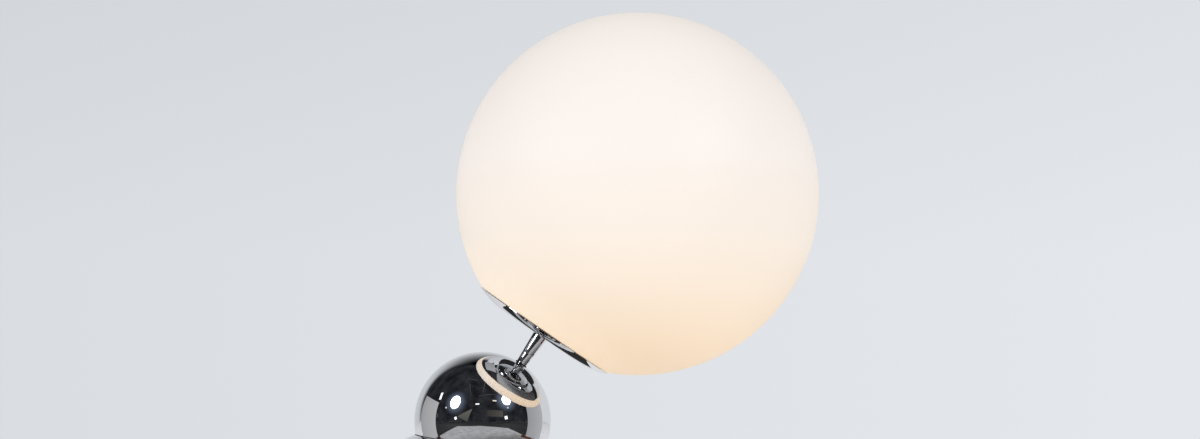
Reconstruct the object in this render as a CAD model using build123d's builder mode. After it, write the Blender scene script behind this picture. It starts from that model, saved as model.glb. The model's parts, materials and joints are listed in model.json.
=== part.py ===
# Glass globe table lamp: a large opal globe on a short tapered stem that leans out of a chrome ball,
# and the ball turns and tilts in a round seat near the top of a heavy domed base.
#
# Millimetres, +Z up. The origin is on the table, on the dome's own vertical axis, and +X is the way
# the stem leans. Sizes inside the ball are measured from its centre, where both joint axes meet.
import os
from math import asin, cos, degrees, radians, sin, sqrt

from build123d import *

# ---------------------------------------------------------------- driving dimensions
# Globe
globe_r = 200.0            # outside of the opal glass
glass_t = 2.6
mouth_r = 83.6             # where the round glass ends, in a flat ring that faces the cap
neck_inset = 13.6          # a short neck hangs from that ring into the cap, this far inside its edge
neck_t = 3.0
neck_drop = 3.5

# Cap under the globe
cap_overhang = 0.9         # the cap's edge stands out from the glass by this
cap_depth = 8.4
cap_curve_w = 34.5         # the dish is flat, and curves up over this much at its edge
cap_lip = 1.2
cap_t = 1.2
gasket_t = 0.6
gasket_w = 6.6
glass_gap = 0.3            # clearance of the glass all round

# Stem
stem_len = 37.11           # from the top of the ball to the underside of the cap
stem_foot_r = 6.15
stem_top_r = 8.8
stem_seam = 13.4           # height of the joint between the two sleeves, above the ball
stem_washer_t = 0.8
core_r = 5.0               # threaded tube inside the sleeves
core_bore_r = 3.5
slip = 0.1                 # radial clearance of a sleeve or plate over the tube
thread_gap = 0.05          # radial clearance of a thread in its nut

# Ball and its way of standing
ball_r = 75.0
ball_t = 1.5
lean = 34.4                # the stem's angle from the vertical at rest
tilt_max = 50.0            # and as far as it goes down; it also comes upright
hatch_margin = 11.0        # the opening under the ball spans the post's whole sweep and this more

# Domed base
foot_t = 3.0
foot_inset = 18.0          # the felt ends this far inside the dome's edge
dome_r = 150.0
dome_t = 1.5
seat_shift = 20.3          # the ball sits off the dome's axis by this
ball_sink = 68.08          # how deep the ball lies below the dome's round surface
seat_gap = 0.3             # between ball and seat ring
seat_lip = 1.2             # width of seat ring that shows round the ball
seat_flange = 5.0
seat_flange_t = 2.5
plate_t = 4.0
plate_gap = 0.3
ballast_r = 110.0
ballast_t = 20.0
lug_count = 4
lug_inset = 9.5            # screws stand this far inside the dome's wall
lug_w = 14.0
lug_depth = 7.0
lug_h = 12.0
base_screw_r = 2.0
ballast_bolt_inset = 40.0  # ring of bolts, from the ballast's edge
ballast_bolt_r = 3.0
ballast_bolt_grip = 12.0

# Swivel: a hollow post that turns in two bushes
post_r = 8.0
post_bore_r = 3.1
running_gap = 0.05
bush_t = 3.0
bush_flange_t = 2.0
bush_flange_r = 14.0
bush_space = 6.0           # between the two bushes
housing_r = 19.0
housing_cavity_r = 15.5
housing_flange_r = 32.0
housing_flange_t = 5.0
housing_screw_inset = 7.0  # ring of screws, from the flange's edge
housing_screw_r = 2.5
housing_screw_grip = 12.0
thrust_t = 1.0
post_collar_t = 3.0
collar_below_ball = 4.6    # from the underside of the ball down to the post's collar
post_washer_t = 1.5
post_nut_t = 8.0
post_nut_flats = 24.0
post_tail = 1.0            # post that shows below its nut
housing_cavity_h = 16.0    # hollow round the nut, above the ballast

# Tilt joint at the ball's centre
knuckle_r = 12.5
knuckle_w = 20.0
pin_r = 5.0
friction_t = 1.8
friction_r = 12.0
face_gap = 0.1             # flat faces that rub
cheek_t = 8.0
cheek_r = 13.0
fork_half_x = 11.0
bridge_low = 18.0
bridge_high = 30.0
boss_r = 8.0
boss_bore_r = 3.2
boss_bore_low = 36.0
boss_window_h = 14.0
thread_depth = 20.0
spring_t = 2.0
spring_r = 10.0
pin_nut_t = 8.0
pin_flats = 17.0
pin_head_t = 6.4
pin_tail = 1.5

# Lampholder and lamp, measured up from the flat of the glass
gallery_gap = 9.0          # between the plate's edge and the neck of the glass
gallery_t = 1.5
spacer_r = 14.0
spacer_t = 1.4
gallery_nut_t = 5.0
gallery_nut_flats = 17.0
clip_count = 3
clip_w = 10.0
clip_t = 0.8
clip_foot_edge = 2.0       # foot of a clip, from the plate's edge
clip_foot_len = 12.0
clip_top = 12.0
clip_bend = 6.7            # the clip's top leans this far away from the glass
rivet_r = 1.6
rivet_head_r = 3.0
rivet_head_t = 1.0
holder_low = 1.0
holder_cap_h = 15.0
holder_top = 50.0
holder_r = 21.0
holder_t = 2.5
holder_floor = 22.0
holder_floor_t = 3.0
shell_t = 0.6
shell_rim = 1.5
lamp_cap_r = 13.0
lamp_cap_low = 25.6
lamp_cap_h = 26.0
lamp_gap = 0.3
lamp_groove = 0.5
lamp_pitch = 3.6
lamp_thread_turns = 5
lamp_r = 30.0
lamp_body_top = 85.0
lamp_body_low_r = 14.0
lamp_wall = 1.2
lamp_contact_r = 4.5
led_plate_t = 1.6

# Switch button and lead inlet, set square to the dome
switch_azimuth = 140.0
switch_rise = 25.0
switch_body_r = 8.5
switch_body_len = 22.0
switch_neck_r = 6.0
switch_neck_out = 2.0
button_r = 4.0
button_gap = 0.3
button_proud = 3.0
button_travel = 2.0
button_len = 15.0
bezel_r = 9.5
bezel_t = 2.0
inlet_azimuth = 90.0
inlet_rise = 16.0
inlet_bore_r = 4.0
inlet_neck_r = 6.5
inlet_flange_r = 9.0
inlet_flange_t = 2.5
inlet_depth = 12.0
inlet_nut_t = 4.0
inlet_nut_flats = 19.0

# Leads and terminals
lead_r = 2.3
switch_lead_r = 1.5
groove_w = 6.0
groove_depth = 12.0
groove_len = 66.0
pocket_r = 12.0
terminal_w = 30.0
terminal_d = 18.0
terminal_h = 13.0
terminal_offset_x = 3.7
terminal_offset_y = 78.0
terminal_screw_r = 2.0
lead_side = 35.0           # the lead crosses the tilt axis this far to the side of the ball's centre
lead_joint = 2.65          # half the distance between the two rounded lead ends there
window_r = 2.7             # half the width of the two windows that it passes through

# ---------------------------------------------------------------- places worked out from them
dome_z = foot_t
dome_inner_r = dome_r - dome_t
foot_r = dome_r - foot_inset
lug_r = dome_inner_r - lug_inset
plate_top = foot_t + plate_t
ballast_top = plate_top + ballast_t
ballast_bolt_ring_r = ballast_r - ballast_bolt_inset
housing_screw_ring_r = housing_flange_r - housing_screw_inset
seat_reach = dome_r + ball_r - ball_sink
seat_rise = sqrt(seat_reach**2 - seat_shift**2)
seat_lean = degrees(asin(seat_shift / seat_reach))
ball_x = seat_shift
ball_z = dome_z + seat_rise
ball_inner_r = ball_r - ball_t
ball_centre = Vector(ball_x, 0, ball_z)
dome_centre = Vector(0, 0, dome_z)


def side_of(frame, turn=0):
    """The section through a frame's z axis, turned round it: x outward, y along the axis."""
    out = frame.x_dir * cos(radians(turn)) + frame.y_dir * sin(radians(turn))
    return Plane(frame.origin, x_dir=out, z_dir=out.cross(frame.z_dir))


def axis_of(frame):
    """The line that a turned piece is revolved round."""
    return Axis(frame.origin, frame.z_dir)


def leaning(origin, angle):
    """A frame at origin whose z axis leans by angle from the vertical, towards +X."""
    tip = radians(angle)
    return Plane(origin, x_dir=(cos(tip), 0, -sin(tip)), z_dir=(sin(tip), 0, cos(tip)))


def square_to_dome(azimuth, rise):
    """A frame at the dome's centre whose z axis leaves the dome at this azimuth and rise."""
    turn = radians(azimuth)
    lift = radians(rise)
    outward = (cos(lift) * cos(turn), cos(lift) * sin(turn), sin(lift))
    return Plane(dome_centre, x_dir=(-sin(turn), cos(turn), 0), z_dir=outward)


head = leaning(ball_centre, lean)
head_side = side_of(head)
stem_axis = axis_of(head)
hatch = leaning(ball_centre, lean - tilt_max / 2)
hatch_r = ball_r * sin(radians(tilt_max / 2 + hatch_margin))
seat = leaning(ball_centre, seat_lean)
seat_side = side_of(seat)
seat_axis = axis_of(seat)
post = Plane(ball_centre)
post_side = side_of(post)
post_axis = axis_of(post)
switch = square_to_dome(switch_azimuth, switch_rise)
switch_side = side_of(switch)
switch_axis = axis_of(switch)
inlet = square_to_dome(inlet_azimuth, inlet_rise)
inlet_side = side_of(inlet)
inlet_axis = axis_of(inlet)

# Heights along the stem, from the ball's centre, and radii at the mouth of the glass
cap_under = ball_r + stem_len
cap_floor = cap_under + cap_t
glass_flat = cap_under + cap_depth
globe_reach = glass_flat + sqrt(globe_r**2 - mouth_r**2)
neck_r = mouth_r - neck_inset
cap_r = mouth_r + cap_overhang
cap_flat_r = cap_r - cap_curve_w
seam = ball_r + stem_seam
stem_washer_low = sqrt(ball_r**2 - (core_r + slip) ** 2)
stem_low = stem_washer_low + stem_washer_t
seam_r = stem_foot_r + (stem_top_r - stem_foot_r) * (seam - stem_low) / (cap_under - stem_low)
boss_top = sqrt(ball_inner_r**2 - boss_r**2)
gallery_r = neck_r - neck_t - gallery_gap
gallery_low = cap_floor + spacer_t
gallery_top = gallery_low + gallery_t
holder_foot = glass_flat + holder_low
lamp_low = glass_flat + lamp_cap_low

# Heights on the post, from the ball's centre
collar_top = -ball_r - collar_below_ball
collar_low = collar_top - post_collar_t
housing_top = collar_low - thrust_t - bush_flange_t
ballast_top_p = ballast_top - ball_z
bush_r = post_r + running_gap
bush_body_r = bush_r + bush_t
cavity_top = ballast_top_p + housing_cavity_h
bush_len = (housing_top - cavity_top - bush_space) / 2
post_nut_top = cavity_top - bush_flange_t - post_washer_t
post_nut_low = post_nut_top - post_nut_t
post_low = post_nut_low - post_tail

# The round hole in the dome, worked out where the two balls cross
cross_z = (dome_r**2 - ball_r**2 - seat_reach**2) / (2 * seat_reach)
cross_r = sqrt(ball_r**2 - cross_z**2)
seat_hole_r = cross_r + seat_lip


# ---------------------------------------------------------------- shared shapes
def outline(*corners, mode=Mode.ADD):
    """Fill the closed outline through these corners in the sketch being drawn."""
    Polygon(*corners, align=None, mode=mode)


def band(inner, outer, low, high, mode=Mode.ADD):
    """Fill half the section of a ring: inner to outer radius, low to high along its axis."""
    outline((inner, low), (outer, low), (outer, high), (inner, high), mode=mode)


def hexagon(flats, hole_r):
    """Fill the plan of a hexagonal nut with this width across its flats."""
    RegularPolygon(flats / 2, 6, major_radius=False)
    Circle(hole_r, mode=Mode.SUBTRACT)


def countersunk_screw(shank_r, length):
    """A countersunk screw that points up, with its flat head at height 0."""
    with BuildPart() as screw:
        with BuildSketch(Plane.XZ):
            outline((0, 0), (2 * shank_r, 0), (shank_r, shank_r), (shank_r, length), (0, length))
        revolve(axis=Axis.Z)
        Box(shank_r / 2, 2.4 * shank_r, shank_r, mode=Mode.SUBTRACT)
    return screw.part


def cap_screw(shank_r, length):
    """A socket cap screw that points down, with the underside of its head at height 0."""
    head_r = 1.7 * shank_r
    head_h = 2 * shank_r
    with BuildPart() as screw:
        with BuildSketch(Plane.XZ):
            band(0, shank_r, -length, 0)
            band(0, head_r, 0, head_h)
        revolve(axis=Axis.Z)
        with BuildSketch(Plane.XY.offset(head_h)):
            RegularPolygon(shank_r, 6)
        extrude(amount=-shank_r, mode=Mode.SUBTRACT)
    return screw.part


# ---------------------------------------------------------------- base
# Chrome dome, open below, with a round hole for the ball and lugs welded inside its foot.
base = Plane(dome_centre)
lug_turns = [(turn + 0.5) * 360 / lug_count for turn in range(lug_count)]
with BuildPart() as base_dome:
    with BuildSketch(side_of(base)):
        Circle(dome_r)
        Circle(dome_inner_r, mode=Mode.SUBTRACT)
        Rectangle(dome_r, dome_r, align=(Align.MIN, Align.MIN), mode=Mode.INTERSECT)
    revolve(axis=axis_of(base))
    with BuildSketch(seat):
        Circle(seat_hole_r)
    extrude(amount=-dome_r / 2, mode=Mode.SUBTRACT)
    for turn in lug_turns:
        with BuildSketch(side_of(base, turn)):
            Circle(dome_inner_r + dome_t / 2)
            with Locations((lug_r - lug_depth, plate_t)):
                Rectangle(dome_r, lug_h, align=(Align.MIN, Align.MIN), mode=Mode.INTERSECT)
        extrude(amount=lug_w / 2, both=True)
    with BuildSketch(Plane.XY.offset(plate_top)):
        with PolarLocations(lug_r, lug_count, start_angle=lug_turns[0]):
            Circle(base_screw_r + thread_gap)
    extrude(amount=lug_h, mode=Mode.SUBTRACT)
    with BuildSketch(switch):
        Circle(switch_neck_r + slip)
    extrude(amount=dome_r + dome_t, mode=Mode.SUBTRACT)
    with BuildSketch(inlet):
        Circle(inlet_neck_r + slip)
    extrude(amount=dome_r + dome_t, mode=Mode.SUBTRACT)

# Steel plate that closes the dome from below, countersunk for its screws.
with BuildPart() as base_plate:
    with BuildSketch(Plane.XY.offset(foot_t)):
        Circle(dome_inner_r - plate_gap)
    extrude(amount=plate_t)
    for ring, count, start, screw_r in (
        (lug_r, lug_count, lug_turns[0], base_screw_r),
        (ballast_bolt_ring_r, lug_count, 0, ballast_bolt_r),
    ):
        with BuildSketch(Plane.XY.offset(foot_t)):
            with PolarLocations(ring, count, start_angle=start):
                Circle(2 * screw_r + slip)
        extrude(amount=screw_r + slip, taper=45, mode=Mode.SUBTRACT)
        with BuildSketch(Plane.XY.offset(foot_t)):
            with PolarLocations(ring, count, start_angle=start):
                Circle(screw_r + slip)
        extrude(amount=plate_t, mode=Mode.SUBTRACT)

# Felt that covers the plate and its ballast bolts.
with BuildPart() as foot_pad:
    with BuildSketch(Plane.XY):
        Circle(foot_r)
    extrude(amount=foot_t)

# Cast iron disc, with a pocket below the post and a groove for the lead.
with BuildPart() as ballast_disc:
    with BuildSketch(Plane.XY.offset(plate_top)):
        Circle(ballast_r)
        with Locations((ball_x, 0)):
            Circle(pocket_r, mode=Mode.SUBTRACT)
    extrude(amount=ballast_t)
    with BuildSketch(Plane.XY.offset(ballast_top)):
        with Locations((ball_x, 0)):
            Rectangle(groove_w, groove_len, align=(Align.CENTER, Align.MIN))
    extrude(amount=-groove_depth, mode=Mode.SUBTRACT)
    with BuildSketch(Plane.XY.offset(plate_top)):
        with PolarLocations(ballast_bolt_ring_r, lug_count):
            Circle(ballast_bolt_r + thread_gap)
    extrude(amount=ballast_bolt_grip, mode=Mode.SUBTRACT)
    with BuildSketch(Plane.XY.offset(ballast_top)):
        with Locations((ball_x, 0)):
            with PolarLocations(housing_screw_ring_r, lug_count, start_angle=lug_turns[0]):
                Circle(housing_screw_r + thread_gap)
    extrude(amount=-housing_screw_grip, mode=Mode.SUBTRACT)

base_screw = countersunk_screw(base_screw_r, plate_t + lug_h - slip)
with BuildPart() as base_screws:
    with Locations(Plane.XY.offset(foot_t)):
        with PolarLocations(lug_r, lug_count, start_angle=lug_turns[0]):
            add(base_screw)

ballast_bolt = countersunk_screw(ballast_bolt_r, plate_t + ballast_bolt_grip - slip)
with BuildPart() as ballast_bolts:
    with Locations(Plane.XY.offset(foot_t)):
        with PolarLocations(ballast_bolt_ring_r, lug_count):
            add(ballast_bolt)

# Black ring that lines the hole: a lip level with the dome, and a flange behind it.
with BuildPart() as seat_ring:
    for outer_r, sphere_r, depth in (
        (seat_hole_r - slip, dome_r, dome_t + seat_flange_t),
        (seat_hole_r + seat_flange, dome_inner_r - face_gap, seat_flange_t),
    ):
        edge_z = sqrt(sphere_r**2 - outer_r**2) - seat_reach
        with BuildSketch(seat_side):
            with Locations((0, -seat_reach)):
                Circle(sphere_r)
            band(cross_r / 2, outer_r, edge_z - depth, 0, mode=Mode.INTERSECT)
            Circle(ball_r + seat_gap, mode=Mode.SUBTRACT)
        revolve(axis=seat_axis)

# Flanged tube on the ballast that carries the post, hollow round the post's nut.
with BuildPart() as post_housing:
    with BuildSketch(post_side):
        band(0, housing_r, ballast_top_p, housing_top)
        band(0, housing_flange_r, ballast_top_p, ballast_top_p + housing_flange_t)
        band(0, housing_cavity_r, ballast_top_p, cavity_top, mode=Mode.SUBTRACT)
        band(0, bush_body_r + thread_gap, cavity_top, housing_top, mode=Mode.SUBTRACT)
    revolve(axis=post_axis)
    with BuildSketch(post.offset(ballast_top_p)):
        with PolarLocations(housing_screw_ring_r, lug_count, start_angle=lug_turns[0]):
            Circle(housing_screw_r + slip)
    extrude(amount=housing_flange_t, mode=Mode.SUBTRACT)

housing_screw = cap_screw(housing_screw_r, housing_flange_t + housing_screw_grip - slip)
with BuildPart() as housing_screws:
    with Locations(post.offset(ballast_top_p + housing_flange_t)):
        with PolarLocations(housing_screw_ring_r, lug_count, start_angle=lug_turns[0]):
            add(housing_screw)

# Two flanged plain bearings, one from above and one from below.
with BuildPart() as swivel_bush_upper:
    with BuildSketch(post_side):
        band(bush_r, bush_body_r, housing_top - bush_len, housing_top)
        band(bush_r, bush_flange_r, housing_top, housing_top + bush_flange_t)
    revolve(axis=post_axis)

with BuildPart() as swivel_bush_lower:
    with BuildSketch(post_side):
        band(bush_r, bush_body_r, cavity_top, cavity_top + bush_len)
        band(bush_r, bush_flange_r, cavity_top - bush_flange_t, cavity_top)
    revolve(axis=post_axis)

with BuildPart() as thrust_washer:
    with BuildSketch(post_side):
        band(bush_r, bush_flange_r, collar_low - thrust_t, collar_low - face_gap)
    revolve(axis=post_axis)

# Mains inlet: a flanged bush through the dome with a nut inside. It has no cord in it.
inlet_flange_low = dome_r
inlet_top = inlet_flange_low + inlet_flange_t
inlet_low = dome_r - inlet_depth
with BuildPart() as inlet_bush:
    with BuildSketch(inlet_side):
        band(inlet_bore_r, inlet_neck_r, inlet_low, inlet_top)
        band(inlet_bore_r, inlet_flange_r, inlet_flange_low, inlet_top)
    revolve(axis=inlet_axis)
    inlet_edges = inlet_bush.edges().filter_by(GeomType.CIRCLE).group_by(inlet_axis)[-1]
    fillet(inlet_edges.sort_by(SortBy.RADIUS)[-1], radius=inlet_flange_t / 2)

inlet_nut_top = sqrt(dome_inner_r**2 - (inlet_nut_flats / 2 / cos(radians(30))) ** 2) - face_gap
with BuildPart() as inlet_nut:
    with BuildSketch(inlet.offset(inlet_nut_top)):
        hexagon(inlet_nut_flats, inlet_neck_r + thread_gap)
    extrude(amount=-inlet_nut_t)

# Push switch: body inside the dome, threaded neck through it, and a bezel nut outside.
switch_body_top = sqrt(dome_inner_r**2 - switch_body_r**2) - face_gap
switch_body_low = switch_body_top - switch_body_len
switch_neck_top = dome_r + switch_neck_out
button_top = switch_neck_top + button_proud
button_low = button_top - button_len
button_well = button_low - button_travel - button_gap
with BuildPart() as switch_body:
    with BuildSketch(switch_side):
        band(0, switch_body_r, switch_body_low, switch_body_top)
        band(0, switch_neck_r, switch_body_top, switch_neck_top)
        band(0, button_r + button_gap, button_well, switch_neck_top, mode=Mode.SUBTRACT)
    revolve(axis=switch_axis)

with BuildPart() as switch_bezel:
    with BuildSketch(switch_side):
        band(switch_neck_r + thread_gap, bezel_r, dome_r, dome_r + bezel_t)
    revolve(axis=switch_axis)
    bezel_edges = switch_bezel.edges().filter_by(GeomType.CIRCLE).group_by(switch_axis)[-1]
    fillet(bezel_edges.sort_by(SortBy.RADIUS)[-1], radius=bezel_t / 2)

with BuildPart() as switch_button:
    with BuildSketch(switch_side):
        band(0, button_r, button_low, button_top)
    revolve(axis=switch_axis)
    fillet(switch_button.edges().filter_by(GeomType.CIRCLE).group_by(switch_axis)[-1], radius=button_r / 3)

# Screw terminals on the ballast, where the mains cord, the switch and the lamp's lead meet.
terminal_x = ball_x + terminal_offset_x
with BuildPart() as terminal_block:
    with BuildSketch(Plane.XY.offset(ballast_top)):
        with Locations((terminal_x, terminal_offset_y)):
            Rectangle(terminal_w, terminal_d)
    extrude(amount=terminal_h)
    with BuildSketch(Plane.XY.offset(ballast_top + terminal_h)):
        with Locations((terminal_x, terminal_offset_y)):
            with GridLocations(terminal_w / 3, terminal_d, 2, 1):
                Rectangle(terminal_screw_r, terminal_d)
    extrude(amount=-terminal_h / 3, mode=Mode.SUBTRACT)
    with BuildSketch(Plane.XY.offset(ballast_top + terminal_h)):
        with Locations((terminal_x, terminal_offset_y)):
            with GridLocations(terminal_w / 3, terminal_d, 3, 1):
                Circle(terminal_screw_r + slip)
    extrude(amount=-terminal_h / 2, mode=Mode.SUBTRACT)

with BuildPart() as terminal_screws:
    with BuildSketch(Plane.XY.offset(ballast_top + terminal_h / 2)):
        with Locations((terminal_x, terminal_offset_y)):
            with GridLocations(terminal_w / 3, terminal_d, 3, 1):
                Circle(terminal_screw_r)
    extrude(amount=terminal_h / 3)

# ---------------------------------------------------------------- swivel
# Hollow post: a collar on the thrust washer, a neck up into the ball, and an eye for the tilt pin.
window_low = -ball_r / 2
window_h = 4 * lead_r + lead_r
with BuildPart() as swivel_post:
    with BuildSketch(post_side):
        band(0, post_r, post_low, 0)
        band(0, bush_flange_r, collar_low, collar_top)
    revolve(axis=post_axis)
    with BuildSketch(Plane.XZ):
        with Locations((ball_x, ball_z)):
            Circle(knuckle_r)
    extrude(amount=knuckle_w / 2, both=True)
    with BuildSketch(Plane.XZ):
        with Locations((ball_x, ball_z)):
            Circle(pin_r + running_gap)
    extrude(amount=knuckle_w, both=True, mode=Mode.SUBTRACT)
    with BuildSketch(post.offset(post_low)):
        Circle(post_bore_r)
    extrude(amount=window_low + window_h / 2 - post_low, mode=Mode.SUBTRACT)
    with BuildSketch(Plane.XZ):
        with Locations((ball_x, ball_z + window_low)):
            SlotCenterToCenter(window_h - 2 * window_r, 2 * window_r, rotation=90)
    extrude(amount=-2 * post_r, mode=Mode.SUBTRACT)

with BuildPart() as post_washer:
    with BuildSketch(post_side):
        band(bush_r, bush_flange_r - slip, post_nut_top, post_nut_top + post_washer_t - face_gap)
    revolve(axis=post_axis)

with BuildPart() as post_nut:
    with BuildSketch(post.offset(post_nut_low)):
        hexagon(post_nut_flats, post_r + thread_gap)
    extrude(amount=post_nut_t)

# ---------------------------------------------------------------- ball and fork
# Fork: two cheeks beside the eye, a bridge, and a boss that takes the stem's tube.
cheek_in = knuckle_w / 2 + face_gap + friction_t + face_gap
cheek_out = cheek_in + cheek_t
thread_low = boss_top - thread_depth
with BuildPart() as tilt_fork:
    with BuildSketch(head_side):
        Circle(cheek_r)
        with Locations((0, bridge_high / 2)):
            Rectangle(2 * fork_half_x, bridge_high)
    extrude(amount=cheek_out, both=True)
    with BuildSketch(head_side):
        Circle(bridge_low)
        with Locations((0, -bridge_low)):
            Rectangle(4 * cheek_r, 2 * bridge_low)
    extrude(amount=cheek_in, both=True, mode=Mode.SUBTRACT)
    with BuildSketch(head_side):
        band(0, boss_r, bridge_low + (bridge_high - bridge_low) / 2, boss_top)
    revolve(axis=stem_axis)
    with BuildSketch(head_side):
        Circle(pin_r + thread_gap)
    extrude(amount=2 * cheek_out, both=True, mode=Mode.SUBTRACT)
    with BuildSketch(head_side):
        band(0, boss_bore_r, boss_bore_low, thread_low)
        band(0, core_r + thread_gap, thread_low, boss_top)
    revolve(axis=stem_axis, mode=Mode.SUBTRACT)
    with BuildSketch(head_side):
        with Locations((0, boss_bore_low + boss_window_h / 2)):
            SlotCenterToCenter(boss_window_h - 2 * window_r, 2 * window_r, rotation=90)
    extrude(amount=-2 * boss_r, mode=Mode.SUBTRACT)

# The tilt joint's pin, a pair of friction washers, a pair of spring washers and the nut.
spring_out = cheek_out + spring_t
nut_out = spring_out + pin_nut_t
with BuildPart() as tilt_pin:
    with BuildSketch(head_side.offset(-nut_out - pin_tail)):
        Circle(pin_r)
    extrude(amount=nut_out + pin_tail + spring_out)
    with BuildSketch(head_side.offset(spring_out)):
        RegularPolygon(pin_flats / 2, 6, major_radius=False)
    extrude(amount=pin_head_t)

with BuildPart() as tilt_nut:
    with BuildSketch(head_side.offset(-nut_out)):
        hexagon(pin_flats, pin_r + thread_gap)
    extrude(amount=pin_nut_t)

washer_in = cheek_in - face_gap - friction_t
with BuildPart() as friction_washers:
    with BuildSketch(head_side.offset(-cheek_in + face_gap), head_side.offset(washer_in)):
        Circle(friction_r)
        Circle(pin_r + thread_gap, mode=Mode.SUBTRACT)
    extrude(amount=friction_t)

with BuildPart() as spring_washers:
    with BuildSketch(head_side.offset(-spring_out), head_side.offset(cheek_out)):
        Circle(spring_r)
        Circle(pin_r + thread_gap, mode=Mode.SUBTRACT)
    extrude(amount=spring_t)

# Chrome ball: a spun shell with a hole for the stem and a round opening that the seat hides.
with BuildPart() as ball_shell:
    with Locations(head):
        Sphere(ball_r)
        Sphere(ball_inner_r, mode=Mode.SUBTRACT)
    with BuildSketch(head):
        Circle(core_r + slip)
    extrude(amount=ball_r + ball_t, mode=Mode.SUBTRACT)
    with BuildSketch(hatch):
        Circle(hatch_r)
    extrude(amount=-ball_r - ball_t, mode=Mode.SUBTRACT)

# ---------------------------------------------------------------- stem
with BuildPart() as stem_washer:
    with BuildSketch(head_side):
        band(core_r + slip, stem_foot_r + stem_washer_t, stem_washer_low, stem_low)
    revolve(axis=stem_axis)

with BuildPart() as stem_sleeve_lower:
    with BuildSketch(head_side):
        outline(
            (core_r + slip, stem_low),
            (stem_foot_r, stem_low),
            (seam_r, seam - slip),
            (seam_r - slip, seam),
            (core_r + slip, seam),
        )
    revolve(axis=stem_axis)

with BuildPart() as stem_sleeve_upper:
    with BuildSketch(head_side):
        outline(
            (core_r + slip, seam),
            (seam_r - slip, seam),
            (seam_r, seam + slip),
            (stem_top_r, cap_under),
            (core_r + slip, cap_under),
        )
    revolve(axis=stem_axis)

# Threaded tube that clamps ball, sleeves and cap between the fork and the gallery nut.
core_top = holder_foot + holder_cap_h / 2
with BuildPart() as stem_core:
    with BuildSketch(head_side):
        band(core_bore_r, core_r, thread_low, core_top)
    revolve(axis=stem_axis)

# ---------------------------------------------------------------- cap and gallery
# Chrome dish: flat in the middle, curved up to a thin upright lip.
cap_rise = cap_depth - cap_lip
cap_curve_r = ((cap_r - cap_flat_r) ** 2 + cap_rise**2) / (2 * cap_rise)
cap_curve_z = cap_under + cap_curve_r
with BuildPart() as globe_cap:
    with BuildSketch(head_side):
        with Locations((cap_flat_r, cap_curve_z)):
            Circle(cap_curve_r)
            Circle(cap_curve_r - cap_t, mode=Mode.SUBTRACT)
        band(cap_flat_r, cap_r, cap_under, glass_flat - glass_gap, mode=Mode.INTERSECT)
        band(cap_r - cap_t, cap_r, glass_flat - cap_lip, glass_flat - glass_gap)
        band(core_r + slip, cap_flat_r, cap_under, cap_floor)
    revolve(axis=stem_axis)

# Soft ring that lies on the curve of the cap and carries the flat of the glass.
gasket_seat_z = cap_curve_z - (glass_flat - gasket_t)
gasket_r = cap_flat_r + sqrt((cap_curve_r - cap_t) ** 2 - gasket_seat_z**2) - slip
with BuildPart() as cap_gasket:
    with BuildSketch(head_side):
        band(gasket_r - gasket_w, gasket_r, glass_flat - gasket_t, glass_flat)
    revolve(axis=stem_axis)

with BuildPart() as gallery_spacer:
    with BuildSketch(head_side):
        band(core_r + slip, spacer_r, cap_floor, gallery_low)
    revolve(axis=stem_axis)

clip_turns = [turn * 360 / clip_count for turn in range(clip_count)]
clip_foot_out = gallery_r - clip_foot_edge
clip_foot_in = clip_foot_out - clip_foot_len
rivet_ring_r = (clip_foot_in + clip_foot_out) / 2
with BuildPart() as gallery_plate:
    with BuildSketch(head.offset(gallery_low)):
        Circle(gallery_r)
        Circle(core_r + slip, mode=Mode.SUBTRACT)
        with PolarLocations(rivet_ring_r, clip_count):
            Circle(rivet_r, mode=Mode.SUBTRACT)
    extrude(amount=gallery_t)

with BuildPart() as gallery_nut:
    with BuildSketch(head.offset(gallery_top)):
        hexagon(gallery_nut_flats, core_r + thread_gap)
    extrude(amount=gallery_nut_t)

# Three leaf springs that hold the glass by the inside of its neck.
clip_touch_r = neck_r - neck_t - glass_gap
clip_top_in = clip_touch_r - clip_bend
with BuildPart() as globe_clips:
    for turn in clip_turns:
        with BuildSketch(side_of(head, turn)):
            outline(
                (clip_foot_in, gallery_top),
                (clip_foot_out, gallery_top),
                (clip_touch_r, glass_flat),
                (clip_top_in, glass_flat + clip_top),
                (clip_top_in - clip_t, glass_flat + clip_top),
                (clip_touch_r - 1.6 * clip_t, glass_flat),
                (clip_foot_out - clip_t, gallery_top + clip_t),
                (clip_foot_in, gallery_top + clip_t),
            )
        extrude(amount=clip_w / 2, both=True)
    with BuildSketch(head.offset(gallery_top)):
        with PolarLocations(rivet_ring_r, clip_count):
            Circle(rivet_r)
    extrude(amount=clip_t, mode=Mode.SUBTRACT)

with BuildPart() as clip_rivets:
    with BuildSketch(head.offset(gallery_low)):
        with PolarLocations(rivet_ring_r, clip_count):
            Circle(rivet_r)
    extrude(amount=gallery_t + clip_t)
    with BuildSketch(head.offset(gallery_top + clip_t)):
        with PolarLocations(rivet_ring_r, clip_count):
            Circle(rivet_head_r)
    extrude(amount=rivet_head_t)

# ---------------------------------------------------------------- lampholder
holder_cap_top = gallery_top + gallery_nut_t + holder_cap_h
holder_wall_r = holder_r - holder_t
with BuildPart() as holder_cap:
    with BuildSketch(head_side):
        outline(
            (core_r + thread_gap, gallery_top + gallery_nut_t),
            (2 * core_r, gallery_top + gallery_nut_t),
            (holder_r, gallery_top + gallery_nut_t + holder_cap_h / 2),
            (holder_r, holder_cap_top),
            (holder_wall_r, holder_cap_top),
            (holder_wall_r, gallery_top + gallery_nut_t + holder_cap_h * 0.6),
            (core_r + thread_gap, gallery_top + gallery_nut_t + holder_cap_h * 0.4),
        )
    revolve(axis=stem_axis)

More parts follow.
